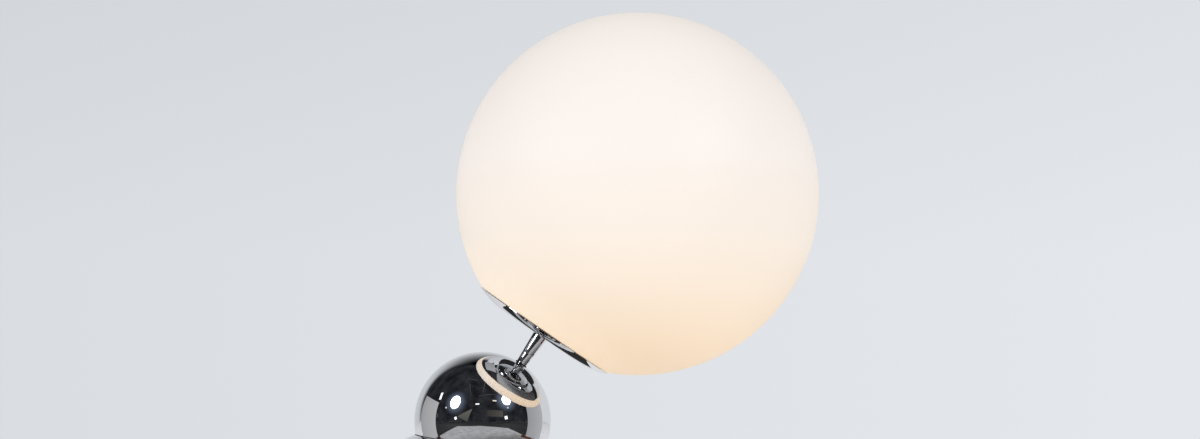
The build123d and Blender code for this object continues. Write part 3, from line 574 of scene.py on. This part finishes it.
# ---------------------------------------------------------------- dome
def dome():
    """The spun dome: its rings run from the ball's hole down to the level foot."""
    m = basis(SEAT)
    u, v, w = (m @ Vector(c) for c in ((1, 0, 0), (0, 1, 0), (0, 0, 1)))
    segments = 256
    counts = (56, 28)
    verts, faces, normals = [], [], []
    rows = []
    for side, (radius, count) in enumerate(zip((DOME_R, DOME_R - DOME_T), counts)):
        start = asin(SEAT_HOLE_R / radius)
        for i in range(count + 1):
            row = []
            for j in range(segments):
                a = 2 * pi * j / segments
                across = u * cos(a) + v * sin(a)
                end = atan2(w.z, -across.z)
                b = start + (end - start) * i / count
                row.append(len(verts))
                verts.append(DOME + (w * cos(b) + across * sin(b)) * radius)
            rows.append((row, side))

    def strip(upper, lower, rule):
        for j in range(segments):
            k = (j + 1) % segments
            face = [upper[j], lower[j], lower[k], upper[k]]
            faces.append(face)
            normals.extend(rule(verts[f]) for f in face)

    outer_rows = [row for row, side in rows if side == 0]
    inner_rows = [row for row, side in rows if side == 1]
    for a, b in zip(outer_rows, outer_rows[1:]):
        strip(a, b, lambda p: (p - DOME).normalized())
    for a, b in zip(inner_rows, inner_rows[1:]):
        strip(b, a, lambda p: -(p - DOME).normalized())
    strip(outer_rows[-1], inner_rows[-1], lambda p: Vector((0, 0, -1)))
    strip(inner_rows[0], outer_rows[0], lambda p: -((p - DOME) - w * (p - DOME).dot(w)).normalized())
    return make_mesh("dome", verts, faces, normals)


def square_to_dome(azimuth, rise):
    a, e = radians(azimuth), radians(rise)
    return Vector((cos(e) * cos(a), cos(e) * sin(a), sin(e)))


SWITCH = square_to_dome(140, 25)
SWITCH_HOLE_R = 6.1 * MM
INLET = square_to_dome(90, 16)
INLET_HOLE_R = 6.6 * MM
DRILL_LOW = 130 * MM
DRILL_HIGH = 160 * MM
ON_WALL = 0.03 * MM
ON_BORE = 0.05 * MM


def pierced(shell, holes):
    """Drills the dome's wall along an axis from its centre for each (axis, radius), then sets true
    normals."""
    for axis, radius in holes:
        rod = [(0, DRILL_LOW), (radius, DRILL_LOW), (radius, DRILL_HIGH), (0, DRILL_HIGH)]
        drill = turned("drill", DOME, axis, rod, 96)
        cut = shell.modifiers.new("hole", "BOOLEAN")
        cut.operation = "DIFFERENCE"
        cut.solver = "EXACT"
        cut.object = drill
        bpy.context.view_layer.update()
        cut_shell = shell.evaluated_get(bpy.context.evaluated_depsgraph_get())
        mesh = bpy.data.meshes.new_from_object(cut_shell)
        shell.modifiers.clear()
        shell.data = mesh
        bpy.data.objects.remove(drill)
    mesh = shell.data
    bores = [(SEAT, SEAT_HOLE_R), *holes]
    normals = []
    for polygon in mesh.polygons:
        polygon.use_smooth = True
        spots = [mesh.vertices[v].co - DOME for v in polygon.vertices]
        rules = [polygon.normal.copy() for _ in spots]
        for radius, sign in ((DOME_R, 1), (DOME_R - DOME_T, -1)):
            if all(abs(p.length - radius) < ON_WALL for p in spots):
                rules = [p.normalized() * sign for p in spots]
                break
        else:
            for axis, radius in bores:
                off = [p - axis * p.dot(axis) for p in spots]
                if all(abs(v.length - radius) < ON_BORE for v in off) and spots[0].dot(axis) > 0:
                    rules = [-v.normalized() for v in off]
                    break
        normals += rules
    mesh.normals_split_custom_set(normals)
    return shell


dress(pierced(dome(), [(SWITCH, SWITCH_HOLE_R), (INLET, INLET_HOLE_R)]), "base_dome")


# ---------------------------------------------------------------- seat ring
def seat_ring():
    """The black ring: its lip level with the dome, and the flange behind the dome's wall."""
    hole = SEAT_HOLE_R - 0.1 * MM
    flange = SEAT_HOLE_R + 5 * MM
    gap_r = BALL_R + 0.3 * MM
    face_r = DOME_R - DOME_T - 0.1 * MM

    def level(radius, r):
        return sqrt(radius**2 - r**2) - SEAT_REACH

    def ball_side(h):
        return sqrt(gap_r**2 - h**2)

    flange_low = level(face_r, flange) - 2.5 * MM
    top = level(DOME_R, ball_side(-24.5 * MM))
    steps = 12
    heights = [top + (flange_low - top) * i / steps for i in range(steps + 1)]
    cavity = [(ball_side(h), h) for h in heights]
    outline = [
        *cavity[:-1],
        (cavity[-1][0], flange_low, 0.3 * MM),
        (flange, flange_low, 0.4 * MM),
        (flange, level(face_r, flange), 0.4 * MM),
        (hole, level(face_r, hole)),
        (hole, level(DOME_R, hole), 0.25 * MM),
    ]
    return turned("seat_ring_trim", BALL, SEAT, rounded(outline), 256)


dress(seat_ring(), "seat_ring")


# ---------------------------------------------------------------- felt, switch and inlet
FELT_R = 132 * MM
FELT_T = 3 * MM
felt = [(0, 0), (FELT_R, 0, 1.1 * MM), (FELT_R, FELT_T, 0.6 * MM), (0, FELT_T)]
dress(turned("foot", Vector((0, 0, 0)), (0, 0, 1), rounded(felt), 192), "foot_pad")

BEZEL_BORE_R = 6.05 * MM
BEZEL_R = 9.5 * MM
BEZEL_TOP = 152 * MM
bezel = [
    (BEZEL_BORE_R, DOME_R),
    (BEZEL_R, DOME_R),
    (BEZEL_R, BEZEL_TOP, 0.95 * MM),
    (6.9 * MM, BEZEL_TOP, 0.2 * MM),
    (BEZEL_BORE_R, BEZEL_TOP - 0.5 * MM, 0.2 * MM),
]
dress(turned("switch_collar", DOME, SWITCH, rounded(bezel), 96), "switch_bezel")
BUTTON_R = 4 * MM
BUTTON_LOW = 140 * MM
BUTTON_TOP = 155 * MM
BUTTON_HOLLOW = BUTTON_TOP - 0.25 * MM
button = [
    (0, BUTTON_LOW),
    (BUTTON_R, BUTTON_LOW, 0.3 * MM),
    (BUTTON_R, BUTTON_TOP, 1.3 * MM),
    (2.2 * MM, BUTTON_TOP, 0.9 * MM),
    (1.2 * MM, BUTTON_HOLLOW, 0.8 * MM),
    (0, BUTTON_HOLLOW),
]
dress(turned("switch_cap", DOME, SWITCH, rounded(button), 96), "switch_button")

CORD_R = 4 * MM
BUSH_R = 6.5 * MM
BUSH_HEAD_R = 9 * MM
BUSH_LOW = 138 * MM
BUSH_TOP = 152.5 * MM
bush = [
    (CORD_R, BUSH_LOW, 0.5 * MM),
    (BUSH_R, BUSH_LOW, 0.4 * MM),
    (BUSH_R, DOME_R),
    (BUSH_HEAD_R, DOME_R),
    (BUSH_HEAD_R, BUSH_TOP, 1.2 * MM),
    (CORD_R, BUSH_TOP, 0.9 * MM),
]
dress(turned("inlet", DOME, INLET, rounded(bush), 96), "inlet_bush")

# ---------------------------------------------------------------- holder and lamp, seen with the globe off
HOLDER_LOW = 121.21 * MM
HOLDER_JOIN = 136.21 * MM
HOLDER_FLOOR = 142.51 * MM
HOLDER_TOP = 170.51 * MM
HOLDER_R = 21 * MM
HOLDER_BORE_R = 18.5 * MM
HOLDER_LIP_R = 16 * MM
HOLDER_FLOOR_T = 3 * MM
HOLDER_LIP_T = 2.5 * MM
HOLDER_HOLE_R = 5.05 * MM
CONTACT_HOLE_R = 4.6 * MM
LAMP_LOW = 172.11 * MM
LAMP_MIDDLE = 205.51 * MM
LAMP_R = 30 * MM
LAMP_WALL = 1.2 * MM
LAMP_FOOT_R = 14 * MM
holder_foot = [
    (HOLDER_HOLE_R, HOLDER_LOW),
    (10 * MM, HOLDER_LOW, 0.5 * MM),
    (HOLDER_R, HOLDER_LOW + 7.5 * MM, 1.5 * MM),
    (HOLDER_R, HOLDER_JOIN, 0.3 * MM),
    (HOLDER_BORE_R, HOLDER_JOIN),
    (HOLDER_BORE_R, HOLDER_LOW + 9 * MM),
    (HOLDER_HOLE_R, HOLDER_LOW + 6 * MM),
]
dress(turned("holder_foot", BALL, STEM, rounded(holder_foot), 96), "holder_cap")
holder_sleeve = [
    (HOLDER_BORE_R, HOLDER_JOIN),
    (HOLDER_R, HOLDER_JOIN, 0.3 * MM),
    (HOLDER_R, HOLDER_TOP, 0.6 * MM),
    (HOLDER_LIP_R, HOLDER_TOP, 0.4 * MM),
    (HOLDER_LIP_R, HOLDER_TOP - HOLDER_LIP_T),
    (HOLDER_BORE_R, HOLDER_TOP - HOLDER_LIP_T),
    (HOLDER_BORE_R, HOLDER_FLOOR),
    (CONTACT_HOLE_R, HOLDER_FLOOR),
    (CONTACT_HOLE_R, HOLDER_FLOOR - HOLDER_FLOOR_T),
    (HOLDER_BORE_R, HOLDER_FLOOR - HOLDER_FLOOR_T),
]
dress(turned("holder_sleeve", BALL, STEM, rounded(holder_sleeve), 96), "holder_body")
lamp_cone = [
    (0, LAMP_LOW),
    (LAMP_FOOT_R, LAMP_LOW, 0.5 * MM),
    (LAMP_R, LAMP_MIDDLE),
    (LAMP_R - LAMP_WALL, LAMP_MIDDLE),
    (LAMP_FOOT_R - LAMP_WALL, LAMP_LOW + LAMP_WALL),
    (0, LAMP_LOW + LAMP_WALL),
]
dress(turned("lamp_cone", BALL, STEM, rounded(lamp_cone), 128), "lamp_body")
lamp_inner_r = LAMP_R - LAMP_WALL
lamp_dome = [
    *arc((0, LAMP_MIDDLE), LAMP_R, 0, 90, 3)[:-1],
    (0, LAMP_MIDDLE + LAMP_R),
    (0, LAMP_MIDDLE + lamp_inner_r),
    *arc((0, LAMP_MIDDLE), lamp_inner_r, 90, 0, 4)[1:],
]
lamp_balls = ((LAMP_MIDDLE, LAMP_R), (LAMP_MIDDLE, lamp_inner_r))
dress(turned("lamp_dome", BALL, STEM, lamp_dome, 128, balls=lamp_balls), "lamp_diffuser")

# ---------------------------------------------------------------- studio
PALE = srgb(221, 224, 228)
DARK_MURK = (0.010, 0.010, 0.011)
PALE_MURK = (0.024, 0.023, 0.024)
SHEET_HIGH = 0.0006
WALL_LOW = 0.0007
TABLE_HIGH = 0.0009
BROWN_HIGH = 0.0012
SHADE_MIDDLE = (0.12, 0.0, 0.0)
ROOM_REACH = 2.4
LAMP_REACH = 2.7


def flat_sheet(name, corners):
    mesh = bpy.data.meshes.new(name)
    mesh.from_pydata([Vector(c) for c in corners], [], [list(range(len(corners)))])
    made = bpy.data.objects.new(name, mesh)
    bpy.context.scene.collection.objects.link(made)
    return made


floor_paint, g, shader, where = new_material("floor")
speck = g.noise(where, 40.0, 4.0, 0.6)
g.put(shader.inputs["Base Color"], g.mix(speck, srgb(236, 237, 239), srgb(241, 242, 243)))
g.put(shader.inputs["Roughness"], g.span(speck, 0.3, 0.7, 0.6, 0.75))
floor = flat_sheet("floor", [(-4, -5, 0), (4, -5, 0), (4, 2.5, 0), (-4, 2.5, 0)])
floor.data.materials.append(floor_paint)

# the dark floor round the grey table top, seen in reflections only; the two sheets just behind the lamp are
# painted shade, the lamp's shade on the table
dark_paint, g, shader, where = new_material("dark_sheet")
murk = g.noise(where, 3.0, 4.0, 0.6)
g.put(shader.inputs["Base Color"], g.ramp(murk, [(0.3, DARK_MURK), (0.7, PALE_MURK)]))
shader.inputs["Roughness"].default_value = 0.9


def level_sheet(x0, x1, y0, y1, height):
    """The four corners of a level oblong."""
    return [(x0, y0, height), (x1, y0, height), (x1, y1, height), (x0, y1, height)]


def mirrored_only(piece):
    """Reflections show this piece, and nothing else does."""
    for ray in ("camera", "diffuse", "transmission", "volume_scatter", "shadow"):
        setattr(piece, "visible_" + ray, False)


for name, x0, x1, y0, y1 in (
    ("dark_front", -3.9, 3.9, -4.9, -0.08),
    ("dark_left", -3.9, -0.42, -0.08, 0.30),
    ("dark_right", 0.46, 3.9, -0.08, 0.20),
    # painted shade: dark sheets behind the lamp, where it shades the table
    ("dark_near", -0.40, 0.33, 0.08, 0.20),
    ("dark_behind", -0.30, 0.06, 0.20, 1.10),
):
    sheet = flat_sheet(name, level_sheet(x0, x1, y0, y1, SHEET_HIGH))
    sheet.data.materials.append(dark_paint)
    mirrored_only(sheet)

# the worn grey top below the lamp, darker in the shade near it, seen in reflections only
table_paint, g, shader, where = new_material("table_top")
blotch = g.noise(where, 11.0, 6.0, 0.65)
from_lamp = g.node("VectorMath", operation="DISTANCE")
g.put(from_lamp.inputs[0], where)
from_lamp.inputs[1].default_value = SHADE_MIDDLE
shade = g.span(from_lamp.outputs["Value"], 0.16, 0.48, 0.25, 1.0, True)
worn = g.ramp(blotch, [(0.35, (0.30, 0.30, 0.31)), (0.65, (0.46, 0.46, 0.465))])
g.put(shader.inputs["Base Color"], g.mix(1.0, worn, shade, "MULTIPLY"))
shader.inputs["Roughness"].default_value = 0.8
table_edge = [
    (-0.4, 0.1),
    (-0.4, -0.1),
    (-0.7, -0.9),
    (0, -1.2),
    (0.4, -0.9),
    (0.6, -0.6),
    (0.45, -0.1),
    (0.45, 0.1),
]
table = flat_sheet("table_top", [(x, y, TABLE_HIGH) for x, y in table_edge])
table.data.materials.append(table_paint)
mirrored_only(table)


def card(name, corners, low, high, axis="Y", start=0.0, end=1.0):
    """A pale board or a lit fixture: its glow runs from `low` to `high` along an axis of the world."""
    paint, g, shader, where = new_material(name)
    place = g.node("SeparateXYZ")
    g.put(place.inputs[0], where)
    cloud = g.noise(where, 7.0, 4.0, 0.55)
    along = g.math("ADD", g.span(place.outputs[axis], start, end), g.span(cloud, 0.3, 0.7, -0.06, 0.06))
    shader.inputs["Base Color"].default_value = (0, 0, 0, 1)
    shader.inputs["Specular IOR Level"].default_value = 0.0
    g.put(shader.inputs["Emission Color"], g.mix(along, low, high))
    shader.inputs["Emission Strength"].default_value = 1.0
    board = flat_sheet(name, corners)
    board.data.materials.append(paint)
    mirrored_only(board)


def wall(name, x, y0, y1, top, low, high):
    corners = [(x, y0, WALL_LOW), (x, y1, WALL_LOW), (x, y1, top), (x, y0, top)]
    card(name, corners, low, high, "Y", y0, y1)


wall("board_left", -0.41, -0.10, 0.22, 0.335, (0.50, 0.51, 0.52), (0.38, 0.385, 0.395))
wall("board_right", 0.45, -0.09, 0.21, 0.30, (0.36, 0.365, 0.375), (0.49, 0.50, 0.51))

BROWN_DEEP = (0.07, 0.018, 0.013)
BROWN_PALE = (0.13, 0.038, 0.028)
for name, x0, x1, y0, y1 in (
    ("brown_left", -0.43, -0.35, -0.13, 0.03),
    ("brown_right", 0.40, 0.46, -0.155, 0.025),
):
    card(name, level_sheet(x0, x1, y0, y1, BROWN_HIGH), BROWN_DEEP, BROWN_PALE, "Y", y0, y1)


def way_to(azimuth, rise):
    """The direction at this azimuth from the camera's side, leftwards negative, and this rise."""
    a, e = radians(azimuth), radians(rise)
    return Vector((sin(a) * cos(e), -cos(a) * cos(e), sin(e)))


def toward(azimuth, rise):
    """The point of the room that lies this way from the ball."""
    return BALL + way_to(azimuth, rise) * ROOM_REACH


def fixture(name, azimuth, rise, width, height, roll, colour):
    """A lit or grey thing in the room, of this many degrees across, as the ball mirrors it."""
    t = radians(roll)
    spot = toward(azimuth, rise)
    out = (spot - BALL).normalized()
    across = Vector((0, 0, 1)).cross(out).normalized()
    upward = out.cross(across)
    u = (across * cos(t) + upward * sin(t)) * ROOM_REACH * radians(width / 2)
    v = (upward * cos(t) - across * sin(t)) * ROOM_REACH * radians(height / 2)
    card(name, [spot - u - v, spot + u - v, spot + u + v, spot - u + v], colour, colour)


WHITE_LIGHT = (1.6, 1.6, 1.65)
WARM_LIGHT = (1.1, 0.98, 0.80)
FAINT_LIGHT = (0.75, 0.8, 0.9)
GREY_LINE = (0.07, 0.075, 0.085)
# azimuth, rise, width, height and roll in degrees, then the colour
FIXTURES = [
    (-85, 30, 4, 9, 20, WHITE_LIGHT),
    (-7, 28, 6, 2, 4, WHITE_LIGHT),
    (25, 33, 6, 2, -8, WARM_LIGHT),
    (-64, 18, 3, 2, 0, FAINT_LIGHT),
    (-43, 4, 4, 4, 20, WHITE_LIGHT),
    (42, 5, 5, 5, 10, WHITE_LIGHT),
    (47, 20, 3, 2, -6, FAINT_LIGHT),
    (-79, 6, 3, 5, 8, GREY_LINE),
    (-28, 52, 1, 22, 26, GREY_LINE),
    (6, 58, 1, 18, -12, GREY_LINE),
    (-40, 70, 16, 1, 10, GREY_LINE),
    (12, 44, 26, 1, 3, GREY_LINE),
]
for number, row in enumerate(FIXTURES):
    fixture("fixture_%d" % number, *row)
LEFT_PANEL = [toward(-40, 7), toward(-23, -1), toward(-15, 20)]
RIGHT_PANEL = [toward(10, 8), toward(37, 6), toward(37, 16), toward(10, 18)]
card("panel_left", LEFT_PANEL, (0.085, 0.083, 0.076), (0.15, 0.145, 0.132), "Z", 0.1, 0.9)
card("panel_right", RIGHT_PANEL, (0.045, 0.043, 0.040), (0.095, 0.092, 0.084), "X", 0.4, 1.4)

# the rise at which the mirrored backdrop starts to fade and is gone, in degrees
FADE_START = 12.0
FADE_END = 64.0
BEHIND_LEFT = (0.58, 0.60, 0.63)
BEHIND_RIGHT = (0.73, 0.745, 0.77)
ROOM_DARK = (0.009, 0.010, 0.013)
ROOM_PALE = (0.044, 0.044, 0.049)
HALO = (0.16, 0.20, 0.28)
AMBIENT = (0.70, 0.705, 0.715)
# azimuth and rise of the two lamps, in degrees
SOFT_BOXES = ((-49, 28), (48, 32))


def studio():
    """Pale backdrop for the camera. Reflections show it behind, fading upwards, and an unlit room in
    front and overhead. The rest of the light is even."""
    world = bpy.data.worlds.new("studio")
    bpy.context.scene.world = world
    world.use_nodes = True
    g = Graph(world.node_tree)
    way = g.node("SeparateXYZ")
    g.put(way.inputs[0], g.node("TexCoord").outputs["Generated"])
    x, y, z = way.outputs
    rise = g.math("MULTIPLY", g.math("ARCSINE", z), 180 / pi)
    turn = g.math("MULTIPLY", g.math("ARCTAN2", x, g.math("MULTIPLY", y, -1.0)), 180 / pi)

    side = g.span(x, -0.25, 0.25, 0.93, 1.045)
    above = g.span(z, 0.03, 0.125, 1.035, 0.968)
    backdrop = g.mix(1.0, PALE, g.math("MULTIPLY", side, above), "MULTIPLY")

    fade = g.span(rise, FADE_START, FADE_END, 1.0, 0.0, True)
    behind = g.mix(g.span(x, -0.8, 0.8), BEHIND_LEFT, BEHIND_RIGHT)
    behind = g.mix(1.0, behind, fade, "MULTIPLY")
    room_noise = g.noise(g.node("TexCoord").outputs["Generated"], 4.0, 6.0, 0.6)
    room = g.ramp(room_noise, [(0.35, ROOM_DARK), (0.75, ROOM_PALE)])
    for azimuth, height in SOFT_BOXES:
        near = g.node("VectorMath", operation="DOT_PRODUCT")
        g.put(near.inputs[0], g.node("TexCoord").outputs["Generated"])
        near.inputs[1].default_value = way_to(azimuth, height)
        halo = g.math("POWER", g.span(near.outputs["Value"], cos(radians(22)), cos(radians(8))), 2.5)
        room = g.mix(g.math("MULTIPLY", halo, 0.9), room, HALO)
    is_behind = g.math(
        "MAXIMUM",
        g.span(turn, 104.0, 122.0, 0.0, 1.0, True),
        g.span(g.math("ADD", turn, g.math("MULTIPLY", rise, 0.35)), -120.0, -136.0, 0.0, 1.0, True),
    )
    seen = g.mix(is_behind, room, behind)

    path = g.node("LightPath")
    even = g.node("Background")
    even.inputs["Color"].default_value = (*AMBIENT, 1)
    shown = g.node("Background")
    g.put(shown.inputs["Color"], backdrop)
    mirrored = g.node("Background")
    g.put(mirrored.inputs["Color"], seen)
    pale_rays = g.math("MAXIMUM", path.outputs["Is Camera Ray"], path.outputs["Is Transmission Ray"])
    first = g.node("MixShader")
    g.put(first.inputs[0], path.outputs["Is Glossy Ray"])
    g.put(first.inputs[1], even.outputs[0])
    g.put(first.inputs[2], mirrored.outputs[0])
    last = g.node("MixShader")
    g.put(last.inputs[0], pale_rays)
    g.put(last.inputs[1], first.outputs[0])
    g.put(last.inputs[2], shown.outputs[0])
    g.put(g.node("OutputWorld").inputs["Surface"], last.outputs[0])


studio()


def soft_box(name, azimuth, rise, width, height, radiance):
    """An oval lamp that faces the ball and is this many degrees across as seen from it."""
    out = way_to(azimuth, rise)
    lamp = bpy.data.lights.new(name, "AREA")
    lamp.shape = "ELLIPSE"
    lamp.size = 2 * LAMP_REACH * sin(radians(width / 2))
    lamp.size_y = 2 * LAMP_REACH * sin(radians(height / 2))
    lamp.color = (0.97, 0.985, 1.0)
    lamp.energy = radiance * pi * lamp.size * lamp.size_y
    made = bpy.data.objects.new(name, lamp)
    made.location = BALL + out * LAMP_REACH
    made.rotation_mode = "QUATERNION"
    made.rotation_quaternion = out.to_track_quat("Z", "Y")
    bpy.context.scene.collection.objects.link(made)
    return made


soft_box("soft_left", *SOFT_BOXES[0], 17, 20, 5.3)
soft_box("soft_right", *SOFT_BOXES[1], 14, 15, 7.6)
top = soft_box("soft_top", 0, 80, 60, 60, 0.8)
top.visible_glossy = False

# ---------------------------------------------------------------- camera
camera_data = bpy.data.cameras.new("camera")
camera_data.sensor_width = 36
camera_data.lens = 78.0
CAMERA_PLACE = Vector((0.1495, -2.87, 0.25))
CAMERA_AIM = Vector((0.1495, 0, 0.3796))
camera = bpy.data.objects.new("camera", camera_data)
camera.location = CAMERA_PLACE
camera.rotation_mode = "QUATERNION"
camera.rotation_quaternion = (CAMERA_AIM - camera.location).to_track_quat("-Z", "Y")
bpy.context.scene.collection.objects.link(camera)
bpy.context.scene.camera = camera
bpy.context.scene.view_settings.view_transform = "Standard"
